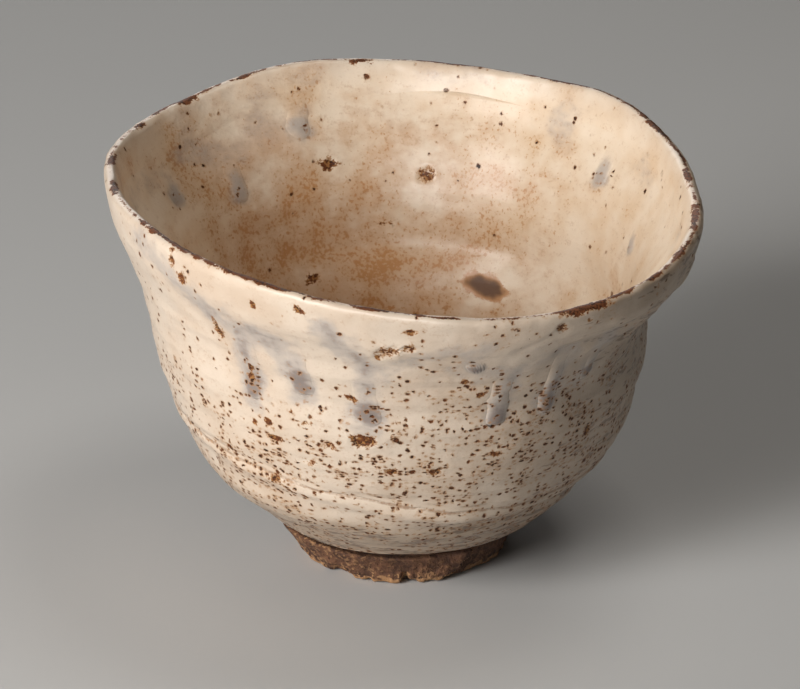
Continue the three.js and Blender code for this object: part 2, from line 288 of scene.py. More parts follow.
# Craters burst through the glaze: side, bearing, height, half width, half height, how brown
CRATERS = [
    (-1, 241.7, 79.4, 0.8, 1.3, 0.9), (-1, 251.4, 81.0, 1.4, 0.9, 0.8), (-1, 220.4, 83.1, 1.3, 2.1, 1.0),
    (-1, 222.8, 80.0, 1.7, 1.7, 1.0), (-1, 229.4, 68.5, 1.4, 2.1, 1.0), (-1, 236.1, 61.4, 0.8, 0.9, 1.0),
    (-1, 235.9, 59.1, 0.8, 0.8, 1.0), (-1, 266.7, 72.2, 2.6, 1.9, 0.75), (-1, 271.1, 78.4, 1.4, 0.8, 0.8),
    (-1, 270.9, 74.3, 1.5, 1.2, 0.8), (-1, 259.4, 58.7, 1.1, 1.2, 0.9), (-1, 262.2, 48.1, 3.0, 1.8, 1.0),
    (-1, 253.7, 45.9, 1.6, 1.1, 0.6), (-1, 256.1, 47.1, 0.9, 0.8, 1.0), (-1, 248.0, 50.7, 1.4, 1.2, 0.9),
    (-1, 245.2, 52.9, 0.9, 0.6, 0.8), (-1, 239.2, 48.9, 1.0, 0.8, 0.9), (-1, 235.0, 48.1, 0.8, 0.8, 0.9),
    (-1, 239.9, 45.2, 1.6, 0.7, 0.8), (-1, 247.8, 40.5, 1.7, 1.0, 0.5), (-1, 267.6, 40.2, 1.8, 1.0, 0.8),
    (-1, 237.0, 33.8, 1.5, 0.9, 1.0), (-1, 223.7, 38.2, 1.0, 0.9, 0.7), (-1, 282.3, 63.4, 1.1, 1.0, 0.9),
    (-1, 285.9, 59.6, 1.1, 1.0, 0.9), (-1, 297.3, 77.2, 1.1, 1.4, 0.8), (-1, 302.8, 77.7, 0.8, 0.9, 0.9),
    (-1, 317.0, 42.7, 0.9, 2.4, 1.0), (-1, 290.6, 43.7, 1.4, 0.9, 0.9), (-1, 277.0, 40.1, 1.4, 1.0, 0.9),
    (-1, 236.6, 33.0, 0.9, 0.6, 1.0), (-1, 240.6, 31.6, 1.0, 0.6, 1.0), (-1, 244.8, 30.4, 0.8, 0.7, 0.9),
    (-1, 20, 52, 1.6, 1.3, 0.9), (-1, 75, 64, 1.9, 1.5, 0.8), (-1, 98, 42, 2.4, 1.5, 1.0),
    (-1, 140, 58, 1.4, 1.6, 0.9), (-1, 168, 47, 2.0, 1.3, 0.9), (-1, 190, 66, 1.3, 1.3, 0.8),
    (1, 84.5, 64.6, 2.0, 1.8, 0.6), (1, 107.2, 67.9, 2.4, 1.3, 0.95), (1, 115.8, 44.2, 1.3, 1.5, 1.0),
    (1, 94.5, 54.5, 1.5, 0.7, 0.9), (1, 200, 50, 1.6, 1.4, 0.8), (1, 255, 40, 2.2, 1.6, 0.9),
    (1, 310, 58, 1.6, 1.4, 0.8),
]

# Grey-violet streaks where the two coats mixed: side, places as bearing and height, half width, strength
STREAKS = [
    (-1, [(208, 83), (220, 78), (229, 73.6), (237, 69.8), (246, 69.2)], 3.0, 0.8),
    (-1, [(234.9, 69.3), (235.9, 63.5), (235.6, 53)], 2.4, 1.0),
    (-1, [(240, 71), (246, 67), (248.3, 58)], 2.5, 1.0),
    (-1, [(255, 77), (258, 74.6), (262.6, 67.9), (262.8, 63.5), (262.3, 51)], 2.4, 0.95),
    (-1, [(262.6, 66), (266.2, 66.5), (272.9, 70.6), (279.3, 74.8)], 1.8, 0.6),
    (-1, [(282.9, 72), (282.9, 67.5)], 2.4, 0.7),
    (-1, [(292.2, 66), (290, 60), (289.8, 55)], 2.2, 0.8),
    (-1, [(285, 66), (292.2, 65.6), (300, 68)], 2.2, 0.6),
    (-1, [(304, 68), (302.5, 62), (301.7, 56)], 2.2, 0.8),
    (-1, [(311, 68), (310.8, 59.3)], 2.2, 0.8),
    (-1, [(316, 66), (324, 69), (332, 68)], 2.4, 0.7),
    (1, [(170, 74), (158, 76), (149, 73)], 2.2, 0.6),
    (1, [(140, 74), (131, 72), (120, 78), (113, 76)], 2.2, 0.6),
]

# Dark pools where the glaze boiled: side, bearing, height, half width, half height
POOLS = [
    (1, 65.5, 42.4, 4.4, 2.0),
]

# Folds that the hands left across the wall: side, places as bearing and height, half width, how far proud
FOLDS = [
    (-1, [(321, 75), (313, 71), (307, 69.5), (300, 68.5)], 1.6, -0.7),
    (-1, [(324, 80), (316, 77), (309, 75)], 1.6, 0.35),
    (-1, [(322, 71), (314, 67.5), (308, 66)], 1.5, 0.7),
    (-1, [(326, 67), (318, 62), (312, 60)], 1.3, -0.6),
    (-1, [(334, 78), (331, 70), (325, 63)], 1.6, 0.6),
    (-1, [(298, 76), (291, 71.5)], 1.3, -0.35),
    (-1, [(212, 78), (222, 72), (231, 66)], 2.2, -0.2),
    (-1, [(60, 76), (72, 70), (80, 64)], 2.2, -0.3),
    (-1, [(150, 74), (140, 68), (132, 66)], 2.0, 0.3),
]

# Where the iron-brown lip shows through: bearing of the middle, half spread in degrees, half width, place
LIP_WEAR = [
    (302, 5, 1.7, -0.8),
    (310, 4, 1.1, -0.1),
    (318, 3, 1.0, -0.1),
    (329, 3, 1.1, 0.2),
    (343, 6, 1.2, 0.5),
    (3, 5, 1.1, 0.3),
    (28, 9, 1.0, -0.2),
    (57, 7, 0.8, -0.6),
    (76, 9, 0.9, -0.6),
    (98, 2.5, 0.9, 0.5),
    (122, 2, 0.9, 0),
    (136, 3, 1.2, 0.2),
    (150, 2, 1.2, 0.4),
    (168, 4, 1.2, 0.2),
    (186, 5, 1.2, 0),
    (215, 14, 1.1, 0.1),
    (243, 14, 1.3, 0.3),
    (268, 7, 0.8, 0.5),
]

# Where the hand pressed the wall in, or out where it is minus: bearing, height, how far, and its reach up,
# down and round
PINCHES = [
    (322, 70, 0.5, 4.5, 13, 24),
    (338, 57, 2.8, 8, 9, 26),
    (318, 75, -1.2, 4, 6, 14),
]

# The height of the trimming ridge: every 22.5 degrees from bearing 0
RIDGE_LINE = [28, 29.5, 31.5, 33.5, 35, 36.5, 37.5, 38, 38, 37.6, 35.8, 33.2, 29.6, 27.1, 26.8, 27.3]

# How far the wall is set in high up, and over the foot at the left
FULLNESS = 0.7
UNDERCUT = 1.2

# How much higher the inside lies than the outside, straight across the leaning wall
WALL_LEAN = 2.5

# How far apart the soft rings inside are
RING_PITCH = 17

# The foot flares up into the wall at one side
FOOT_FLARE = 2
FOOT_TUCK = 0.2
FOOT_FLARE_BEARING = 205

# The second coat, outside and inside: how far below the lip its hem lies, and how deep and how strong the
# violet-grey along it is
HEM = {-1: 15, 1: 11}
HEM_BAND = {-1: (5, 0.34), 1: (9, 0.55)}

# How far a run's edge is from its middle line, in half widths
RUN_EDGE = 1.15

# The noise on the wall: the size of its features in millimetres
NOISES = {"wide": 26, "middling": 9, "fine": 3.2, "tiny": 1.3}

# What the finish of a coat reads at each vertex
SHARES = ("lavender", "burst", "brown", "pool", "ridge", "pinholes", "thin", "rust", "inward")


class Spots:
    """Places on the bowl, one for each vertex of a mesh, with the noise there."""

    def __init__(self, way, bearing):
        self.way = way
        self.bearing = bearing
        self.radius, self.height = surface(way, bearing)
        self.points = stand_at(self.radius, self.height, bearing)
        self.outer = way < 0
        for seed, (name, size) in enumerate(NOISES.items(), 1):
            setattr(self, name, clouds(self.points, size, seed))

    def on(self, side):
        return self.outer if side < 0 else ~self.outer

    def across(self, bearing):
        """Millimetres round the wall from a bearing."""
        return np.radians(apart(self.bearing, bearing)) * self.radius


def hem(side, bearing):
    """How far below the lip the second coat ends between its runs."""
    wander = 2 * np.sin(np.radians(3 * bearing + 57)) + 1.1 * np.sin(np.radians(8 * bearing))
    return HEM[side] + wander


def run_shapes(side, spots):
    """For each run on a side: the share of the way down it, and the distance to its middle line."""
    down = np.abs(spots.way)
    for run_side, middle, top, end, half_width, proud in RUNS:
        if run_side == side:
            start = abs(way_at(side, middle, top))
            stop = abs(way_at(side, middle, end)) - half_width
            past = down - np.clip(down, start, stop)
            yield (down - start) / (stop - start), np.hypot(spots.across(middle), past), half_width, proud


def beside(places, spots):
    """The distance to a line drawn on the wall through places, each a bearing and a height."""
    nearest = np.full(len(spots.way), np.inf)
    for (start, low), (end, high) in zip(places, places[1:]):
        across, up = spots.across(start), spots.height - low
        run, rise = np.radians(end - start) * spots.radius, high - low
        share = np.clip((across * run + up * rise) / (run**2 + rise**2), 0, 1)
        nearest = np.minimum(nearest, np.hypot(across - share * run, up - share * rise))
    return nearest


def hem_band(side, spots):
    """The violet-grey along the hem of the second coat."""
    deep, share = HEM_BAND[side]
    line = hem(side, spots.bearing) - 3.5 + 2.5 * spots.middling
    patchy = smooth(spots.wide + 0.6 * spots.middling, -0.3, 0.8)
    return share * (hump(np.abs(spots.way), line, deep) * patchy)


def runs_and_streaks(spots):
    """How far the runs stand out, where they hold, how violet-grey the glaze is, and the runs' ends."""
    bead, hold, lavender, tips = (np.zeros(len(spots.way)) for _ in range(4))
    for side in (-1, 1):
        here = spots.on(side)
        for along, distance, half_width, proud in run_shapes(side, spots):
            edge = RUN_EDGE * half_width
            held = smooth(edge - distance - 0.5 * spots.fine, 0, 0.5) * smooth(along, -0.2, 0.35)
            dome = np.clip(1 - ((distance + 0.5 * spots.fine) / edge) ** 2, 0, 1) ** 1.5
            spread = hump(distance + 0.8 * spots.fine, 0, 1.3 * half_width)
            hold = at_least(hold, here, held)
            bead = at_least(bead, here, proud * dome * smooth(along, -0.1, 1))
            lavender = at_least(lavender, here, spread * smooth(along, -0.1, 1.1))
            tips = at_least(tips, here, spread * smooth(along, 0.55, 0.9))
        lavender = at_least(lavender, here, hem_band(side, spots))
    for side, places, half_width, strength in STREAKS:
        distance = beside(places, spots) + 1.3 * spots.fine + 1.2 * spots.middling
        lavender = at_least(lavender, spots.on(side), 0.7 * strength * hump(distance, 0, 1.8 * half_width))
    return bead, hold, lavender, tips


def folds(spots):
    """Relief of the soft folds from the hands that pressed the wall."""
    relief = np.zeros(len(spots.way))
    for side, places, half_width, proud in FOLDS:
        distance = beside(places, spots) + 0.5 * spots.middling + 0.2 * spots.fine
        relief += np.where(spots.on(side), proud * hump(distance, 0, half_width), 0)
    return relief


def pools(spots):
    """1 inside the dark pools, falling to 0 a little outside them."""
    dark = np.zeros(len(spots.way))
    for side, middle, level, half_width, half_height in POOLS:
        across = spots.across(middle) / half_width
        along = (spots.way - way_at(side, middle, level)) / half_height
        distance = np.hypot(across, along + 0.25 * across) + 0.2 * spots.fine + 0.1 * spots.tiny
        dark = at_least(dark, spots.on(side), 1 - smooth(distance, 0.5, 1.7))
    return dark


def craters(spots):
    """Relief and iron-brown of the craters."""
    relief, brown = np.zeros(len(spots.way)), np.zeros(len(spots.way))
    for side, middle, level, half_width, half_height, share in CRATERS:
        here = spots.on(side)
        depth = 0.2 * min(half_width, half_height)
        along = (spots.way - way_at(side, middle, level)) / half_height
        distance = np.hypot(spots.across(middle) / half_width, along) + 0.5 * spots.fine + 0.35 * spots.tiny
        pit = 1 - smooth(distance, 0.45, 1)
        relief += np.where(here, -depth * pit + 0.4 * depth * hump(distance, 1.15, 0.3), 0)
        brown = at_least(brown, here, share * (1 - smooth(distance, 0.2, 1.6)))
    return relief, brown


def worn_lip(spots):
    """Where the glaze drew back from the lip and left it iron-brown: least at the left."""
    line = 1 - smooth(np.abs(spots.way + 0.2 + 0.4 * spots.middling), 0, 1.1)
    glazed = toward(spots.bearing, 186, 26)
    brown = line * (0.7 - 0.45 * glazed + 0.4 * spots.middling + 0.3 * spots.fine)
    for middle, spread, half_width, place in LIP_WEAR:
        along = np.abs(apart(spots.bearing, middle)) / spread + 0.3 * spots.middling
        off = np.abs(spots.way - place + 0.4 * spots.middling) / half_width + 0.35 * spots.fine
        spot = 1 - smooth(off + 0.2 * spots.tiny, 0.3, 1.7)
        brown = np.maximum(brown, spot * (1 - smooth(along, 0.2, 1.5)))
    return np.clip(brown, 0, 1)


def slant(bearing):
    """1 on the left, where the foot flares up to the wall, and 0 on the right."""
    return np.maximum(np.cos(np.radians(bearing - FOOT_FLARE_BEARING)), 0) ** 2


def pinches(height, bearing):
    """How far the wall is pressed in."""
    pressed_in = np.zeros(len(height))
    for middle, level, depth, upward, downward, spread in PINCHES:
        reach = np.where(height > level, upward, downward)
        pressed_in += depth * hump(height, level, reach) * toward(bearing, middle, spread)
    return pressed_in


def low_ridge(above, bearing):
    """The step that trimming left low on the wall: a groove over a proud roll, and a flatter cut below."""
    groove = -0.36 * hump(above, 0.6, 1.1)
    roll = (0.12 + 0.45 * toward(bearing, FRONT_LEFT, 52)) * hump(above, -1.9, 1.7)
    cut = -(0.3 + 1.1 * toward(bearing, RIGHT, 45)) * hump(above, -6, 3)
    from_front = apart(bearing, 250)
    trimmed = -0.25 * hump(above, -6.4, 0.8) * smooth(from_front, 0, 40) * (1 - smooth(from_front, 130, 175))
    return groove + roll + cut + trimmed


def throwing_rings(height, points):
    """Uneven lines that the fingers left along the wheel's turning."""
    broad = clouds(points * (0.16, 0.16, 1), 5.5, 21)
    narrow = clouds(points * (0.1, 0.1, 1), 1.9, 22)
    below_lip = 1 - smooth(height, 62, 78)
    return 0.2 * broad * (0.15 + 0.85 * below_lip) + 0.07 * narrow * below_lip


def inner_rings(height, bearing, wide):
    """Soft rings inside, which climb by one in a turn, and the step round the floor."""
    place = height - bearing / 360 * RING_PITCH + 1.5 * wide
    soft = 0.2 * np.sin(place * 2 * math.pi / RING_PITCH)
    soft = soft * smooth(height, 16, 30) * (1 - smooth(height, 66, 80))
    return soft - 0.55 * hump(height, 50, 4) + 0.6 * hump(height, 41, 5)


def wall_relief(spots, lip, above, right):
    """How far the hands and the trimming tool left the wall proud of its thrown form."""
    height, bearing, outer = spots.height, spots.bearing, spots.outer
    by_lip = 1 - smooth(np.abs(spots.way), 2.5, 5)
    off_lip = smooth(np.abs(spots.way), 1, 9)
    relief = pinches(np.where(outer, height, height - WALL_LEAN), bearing) * np.where(outer, -1, 1)
    relief += by_lip * (0.1 * spots.middling + 0.08 * spots.fine - 0.14 * lip)
    relief += off_lip * (0.25 * spots.wide + 0.1 * spots.middling + 0.04 * spots.fine)
    set_in = np.where(outer, 0.5 + 0.5 * off_lip, 0.5 - 0.5 * off_lip)
    relief -= FULLNESS * set_in * smooth(height, 48, 64)
    relief -= UNDERCUT * slant(bearing) * hump(height, 13, 6) * outer
    rings = throwing_rings(height, spots.points)
    outside = low_ridge(above, bearing) + rings * (1.5 + 1.5 * right)
    inside = inner_rings(height, bearing, spots.wide) + 0.6 * rings * smooth(height, 14, 22)
    return relief + np.where(outer, outside, inside)


def outside_pinholes(height, bearing, wide):
    """Fewer near the lip, and dense low down, towards the right and along the ridge."""
    right = toward(bearing, 325, 50) * (1 - 0.75 * smooth(height, 54, 70))
    low = 1 - smooth(height, 34 + 14 * right, 66 + 12 * right)
    crowded = 0.38 + 0.14 * right + (0.5 + 0.25 * right) * low + 0.2 * wide - 0.1 * smooth(height, 70, 84)
    return crowded + 0.5 * hump(height, around(RIDGE_LINE, bearing) - 0.8, 1.2)


def inside_pinholes(height, wide):
    return 0.09 + 0.08 * wide + 0.08 * smooth(height, 55, 75)


def inside_rust_and_shade(height, bearing, wide, middling):
    """Rust: most at the left of the back and low down, and least at the right. A band across the back at mid
    height is painted shade, and the lesser rust at the right is painted light on the lit wall.
    """
    haze = 0.32 + 0.42 * toward(bearing, 118, 62) * (1 - smooth(height, 66, 90))
    low = 1 - smooth(height, 34, 62)
    # Painted shade: a darker band across the back of the inside at mid height, carried as rust.
    shaded = 0.35 * hump(height, 47, 7) * toward(bearing, 85, 45)
    # Painted light: less rust at the right, where the light falls on the inside wall.
    return haze + 0.25 * low + shaded - 0.25 * toward(bearing, 15, 45) + 0.25 * wide + 0.15 * middling


def coat_fields(spots):
    """What the glaze does at each place: relief in millimetres and the shares of each finish."""
    height, bearing, outer = spots.height, spots.bearing, spots.outer
    wide, middling = spots.wide, spots.middling
    bead, hold, lavender, tips = runs_and_streaks(spots)
    pits, burst = craters(spots)
    lip = worn_lip(spots)
    above = height - around(RIDGE_LINE, bearing) + 0.3 * middling
    right = toward(bearing, RIGHT, 50)
    # Greyer glaze: thin low down, and painted shade over the shaded right side.
    thin = np.maximum(1 - smooth(height + 2 * middling, 14, 34), 0.8 * right)
    pinholes = np.where(outer, outside_pinholes(height, bearing, wide), inside_pinholes(height, wide))
    # Inside, the rust share also carries painted shade and painted light.
    rust = np.where(outer, 0.1 + 0.1 * wide, inside_rust_and_shade(height, bearing, wide, middling))
    return {
        "relief": pits + folds(spots) + wall_relief(spots, lip, above, right),
        "bead": bead,
        "hold": hold,
        "lavender": lavender,
        "burst": burst,
        "brown": lip,
        "pool": pools(spots),
        "ridge": np.where(outer, np.clip(above, -9, 9), 9),
        "pinholes": np.clip(pinholes + 0.5 * tips, 0, 1),
        "thin": np.where(outer, thin, 0),
        "rust": np.clip(rust, 0, 1),
        "inward": smooth(spots.way, -2, 8),
    }


# Modelling


def read_points(piece):
    points = np.empty(len(piece.data.vertices) * 3)
    piece.data.vertices.foreach_get("co", points)
    return points.reshape(-1, 3) / MM


def write_points(piece, points):
    piece.data.vertices.foreach_set("co", (points * MM).ravel())
    piece.data.update()


SECTORS = 16


def thrown(name, section, columns):
    """Draws a closed section, radius and height in millimetres, beside the axis and spins it round."""
    bpy.ops.object.select_all(action="DESELECT")
    radius, height = section[0]
    bpy.ops.mesh.primitive_plane_add(size=MM, location=(radius * MM, 0, height * MM))
    bpy.ops.object.transform_apply(location=True, rotation=True, scale=True)
    piece = bpy.context.object
    piece.name = piece.data.name = name
    bpy.ops.object.mode_set(mode="EDIT")
    bpy.ops.mesh.merge(type="CENTER")
    for step_out, step_up in np.diff(section, axis=0):
        step = (step_out * MM, 0, step_up * MM)
        bpy.ops.mesh.extrude_region_move(TRANSFORM_OT_translate={"value": step})
    bpy.ops.mesh.select_all(action="SELECT")
    bpy.ops.object.mode_set(mode="OBJECT")
    ring = piece.data.attributes.new("ring", "INT", "POINT")
    ring.data.foreach_set("value", np.arange(len(section)))
    bpy.ops.object.mode_set(mode="EDIT")
    bpy.ops.mesh.select_all(action="SELECT")
    sector = 2 * math.pi / SECTORS
    middle = {"center": (0, 0, 0), "axis": (0, 0, 1)}
    bpy.ops.mesh.spin(steps=columns // SECTORS, angle=sector, **middle)
    bpy.ops.mesh.select_all(action="SELECT")
    bpy.ops.mesh.spin(steps=SECTORS - 1, dupli=True, angle=2 * math.pi - sector, **middle)
    bpy.ops.mesh.select_all(action="SELECT")
    bpy.ops.mesh.remove_doubles(threshold=0.001 * MM)
    bpy.ops.mesh.delete_loose()
    bpy.ops.mesh.select_all(action="SELECT")
    bpy.ops.mesh.normals_make_consistent(inside=False)
    bpy.ops.object.mode_set(mode="OBJECT")
    bpy.ops.object.shade_smooth()
    return piece


def rings_and_bearings(piece):
    """The section point that each vertex was spun from, and its bearing."""
    ring = np.empty(len(piece.data.vertices), int)
    piece.data.attributes["ring"].data.foreach_get("value", ring)
    points = read_points(piece)
    return ring, np.degrees(np.arctan2(points[:, 1], points[:, 0]))


def keep_shares(piece, **shares):
    """Stores what the finish reads at each vertex."""
    for name, values in shares.items():
        stored = piece.data.attributes.new(name, "FLOAT", "POINT")
        stored.data.foreach_set("value", values.astype(np.float32))


def ways_between(start, end, step=RING_STEP):
    count = max(round(abs(end - start) / step), 1)
    return np.linspace(start, end, count + 1)


def on_section(ways, depth):
    """Thrown points along the finished section, set in by a depth."""
    return [
        (
            max(np.interp(way, SECTION_WAY, SECTION[:, 0] - SECTION_NORMAL[:, 0] * depth), 0),
            np.interp(way, SECTION_WAY, SECTION[:, 1] - SECTION_NORMAL[:, 1] * depth),
        )
        for way in ways
    ]


def closed(section):
    return [*section, section[0]]


def coat(name, face_ways, back_ways, ways_at, proud_at):
    """A coat of glaze: its face and its back are thrown together, then settled on to the pressed wall."""
    section = closed(on_section(face_ways, 0) + on_section(back_ways, GLAZE))
    piece = thrown(name, section, COLUMNS)
    ring, bearing = rings_and_bearings(piece)
    ring = ring % (len(section) - 1)
    face = ring < len(face_ways)
    way = ways_at(np.concatenate([face_ways, back_ways])[ring], bearing)
    fields = coat_fields(Spots(way, bearing))
    proud = fields["relief"] + np.where(face, proud_at(way, bearing, fields), -GLAZE)
    write_points(piece, stand_at(*surface(way, bearing, proud), bearing))
    keep_shares(piece, **{share: fields[share] for share in SHARES})
    return piece


BACK_RINGS = 12

# The base coats dip under the second coat up to a lap below the lip. The second coat stands a little proud of
# them as far as its hem, and lies sunk in them past it, but for its runs.
LAP = 5
LAP_SINK = 0.3
LIP_COAT = -0.03
SECOND_COAT = 0.13
HEM_SINK = 0.3
HEM_MARGIN = 2.5
RUN_SKIRT = 2.4


def lapped(way, bearing, fields):
    """The base coats dip under the second coat near the lip."""
    return -LAP_SINK * (1 - smooth(np.abs(way), LAP, 2 * LAP))


def second_coat(way, bearing, fields):
    """Thin over the lip, thicker below it, and melted away at its hem but for the runs."""
    line = np.where(way < 0, hem(-1, bearing), hem(1, bearing))
    covered = smooth(line - np.abs(way), -1, 5)
    cover = SECOND_COAT * covered - HEM_SINK * (1 - np.maximum(covered, fields["hold"]))
    over_lip = smooth(np.abs(way), 0, LAP)
    return LIP_COAT + (cover - LIP_COAT) * over_lip + fields["bead"]


def hem_edge(side, bearing):
    """The edge of the second coat's mesh, hidden in the base coat, which turns down round the runs."""
    edge = hem(side, bearing) + HEM_MARGIN
    for run_side, middle, _, end, half_width, _ in RUNS:
        if run_side == side:
            across = np.radians(apart(bearing, middle)) * 0.9 * MOUTH_RADIUS / (RUN_SKIRT * half_width)
            reach = abs(way_at(side, middle, end)) + 1.5
            edge = np.maximum(edge, edge + (reach - edge) * np.exp(-(across**4)))
    return edge


def hanging_ways(share, bearing):
    return share * np.where(share < 0, hem_edge(-1, bearing), hem_edge(1, bearing))


def same_ways(way, bearing):
    return way


def raised_line(bearing):
    """How far the glaze ends above its lowest line, round the foot."""
    ragged = 1.6 * slant(bearing) + 1.2 * toward(bearing, 236, 24)
    ragged += 0.5 * np.sin(np.radians(2 * bearing)) * np.sin(np.radians(3 * bearing))
    ragged += 0.35 * np.sin(np.radians(11 * bearing + 40)) + 0.25 * np.sin(np.radians(29 * bearing))
    return ragged + 0.15 * np.sin(np.radians(61 * bearing + 20)) * np.sin(np.radians(7 * bearing))


def outside_coat():
    bottom = FOOT_WAY + GLAZE_LINE
    face = ways_between(bottom, -LAP)
    back = np.linspace(-LAP, bottom, BACK_RINGS)

    def ways_at(way, bearing):
        return way + raised_line(bearing) * (1 - smooth(way - bottom, 0, 6))

    def proud_at(way, bearing, fields):
        return lapped(way, bearing, fields) - 0.3 * (1 - smooth(way - bottom, 0.4, 3))

    return coat("outside_coat", face, back, ways_at, proud_at)


def inside_coat():
    face = ways_between(LAP, FLOOR_WAY, INSIDE_STEP)
    back = np.linspace(FLOOR_WAY, LAP, BACK_RINGS)
    return coat("inside_coat", face, back, same_ways, lapped)


def rim_coat():
    face = np.concatenate([np.linspace(-1, 0, 62)[:-1], np.linspace(0, 1, 46)])
    back = np.linspace(1, -1, 14)
    return coat("rim_coat", face, back, hanging_ways, second_coat)


NUB_HEIGHT = 1.3
NUB_RADIUS = 6
CLAY_COLUMNS = 256
CLAY_DEPTH = 1.1


def clay_wall():
    """The thrown wall and floor under the glaze, with the nub that trimming leaves inside the foot."""
    ways = np.concatenate([np.linspace(FOOT_WAY, 0, 70), np.linspace(0, FLOOR_WAY, 60)[1:]])
    under = FOOT_HEIGHT + JOINT
    base = SHOULDER[0] - CLAY_DEPTH
    nub = [(0, under - NUB_HEIGHT), (1.5, under - NUB_HEIGHT), (3, under - 0.8 * NUB_HEIGHT)]
    floor = [(radius, under) for radius in np.linspace(NUB_RADIUS, base, 22)]
    wall = on_section(ways, CLAY_DEPTH)
    wall[0] = (base, under)
    wall[-1] = (0, wall[-1][1])
    section = nub + floor[:-1] + wall
    piece = thrown("clay_wall", section, CLAY_COLUMNS)
    ring, bearing = rings_and_bearings(piece)
    points = read_points(piece)
    first = len(section) - len(wall)
    on_wall = ring > first
    way = np.where(on_wall, ways[np.clip(ring - first, 0, len(ways) - 1)], FOOT_WAY)
    relief = coat_fields(Spots(way, bearing))["relief"] * smooth(way, FOOT_WAY, FOOT_WAY + 3)
    pressed_at = surface(way, bearing, relief - CLAY_DEPTH)
    settled = stand_at(*pressed_at, bearing)
    rough = 0.12 * clouds(points, 2.4, 5) + 0.2 * clouds(points, 7, 6)
    points[:, 2] += rough * smooth(np.hypot(points[:, 0], points[:, 1]), 0, 2)
    points[on_wall] = settled[on_wall]
    write_points(piece, points)
    return piece


FOOT_COLUMNS = 480

# The bearing where the smeared lobe of clay on the foot breaks off
LEDGE = 297

# Nicks out of the foot's edge: bearing, half width, how far up and how far in
FOOT_NICKS = [
    (234, 2.2, 1.7, 1.6),
    (241, 0.8, 1.0, 0.5),
    (252, 0.6, 0.8, 0.4),
    (271.5, 0.8, 2.4, 1.5),
    (275, 1.3, 0.9, 0.8),
    (286, 1.2, 0.4, 0.4),
    (297, 2.2, 0.5, 0.6),
    (38, 2.0, 1.4, 1.1),
    (80, 1.2, 1.0, 0.7),
    (131, 1.6, 1.2, 0.9),
    (178, 1.8, 1.0, 0.8),
]


BORE_FOOT = FOOT_RADIUS - FOOT_WALL
BORE_TOP = FOOT_TOP_RADIUS - FOOT_WALL - 1.4


def foot_outline():
    """The foot's closed section: along the ground, up the outside, over the top and down the bore."""
    outline = drawn_line(
        [
            (FOOT_RADIUS - 2.6, 0),
            (FOOT_RADIUS - 1.3, 0),
            (FOOT_RADIUS - 0.35, 0.35),
            (FOOT_RADIUS, 1.3),
            ((FOOT_RADIUS + FOOT_TOP_RADIUS) / 2, 0.6 * FOOT_HEIGHT),
            (FOOT_TOP_RADIUS - 0.3, FOOT_HEIGHT - 0.6),
            (FOOT_TOP_RADIUS - 0.7, FOOT_HEIGHT),
            (BORE_TOP + 0.5, FOOT_HEIGHT),
            (BORE_TOP, FOOT_HEIGHT - 0.5),
            (BORE_FOOT, 1.1),
            (BORE_FOOT + 0.4, 0.25),
            (BORE_FOOT + 1.2, 0),
            (FOOT_RADIUS - 2.6, 0),
        ],
        12,
    )
    outline = on_line(outline, ways_between(0, lengths(outline)[-1]) * 0.999999)
    return closed([tuple(point) for point in outline[:-1]])


def foot_roughness(points, height, outer, crust, edge):
    """How far the bare clay stands proud: grain, a torn skirt in front, and a lobe ending at a ledge."""
    rough = 0.3 * clouds(points, 6, 7) + 0.16 * clouds(points, 2.2, 8) + 0.08 * clouds(points, 1, 9)
    rough += 0.12 * clouds(points * (1, 1, 0.35), 1.3, 10)
    rough += crust * (0.75 * (1 - smooth(height, 1.6, 2.8)) - 0.4 * hump(height, 4.2, 1.3))
    lobe = smooth(edge, -16, -2) * (1 - smooth(edge, -0.6, 0.6))
    behind = smooth(edge, -0.6, 0.6) * (1 - smooth(edge, 12, 40))
    return rough + (0.8 * lobe * smooth(height, 1.5, 3) - 0.8 * behind) * outer


def worn_clay(points, height, outer, low, edge):
    """Where the foot is worn and shows tan: in patches low down and at the ground; and tan along the ledge's
    edge as a painted highlight.
    """
    patches = low * outer * smooth(0.45 + clouds(points, 2.5, 12), 0, 0.7)
    # A painted highlight in tan along the ledge's edge.
    ledge = outer * hump(edge, 0, 1.2) * smooth(height, 1, 3)
    ground = outer * (1 - smooth(height, 0.5, 1.4)) * smooth(clouds(points, 3.5, 15), -0.5, 0.2)
    return np.maximum(np.maximum(patches, ledge), ground)


def nicked(radius, height, bearing, outer):
    """The foot with nicks cut out of its edge."""
    for middle, half_width, up, inward in FOOT_NICKS:
        across = np.radians(apart(bearing, middle)) * FOOT_RADIUS / half_width
        near = np.exp(-(across**4)) * outer
        radius = radius - inward * near * (1 - smooth(height, up, up + 1))
        height = height + up * 0.6 * near * (1 - smooth(height, 0.2, up + 0.6))
    return radius, height


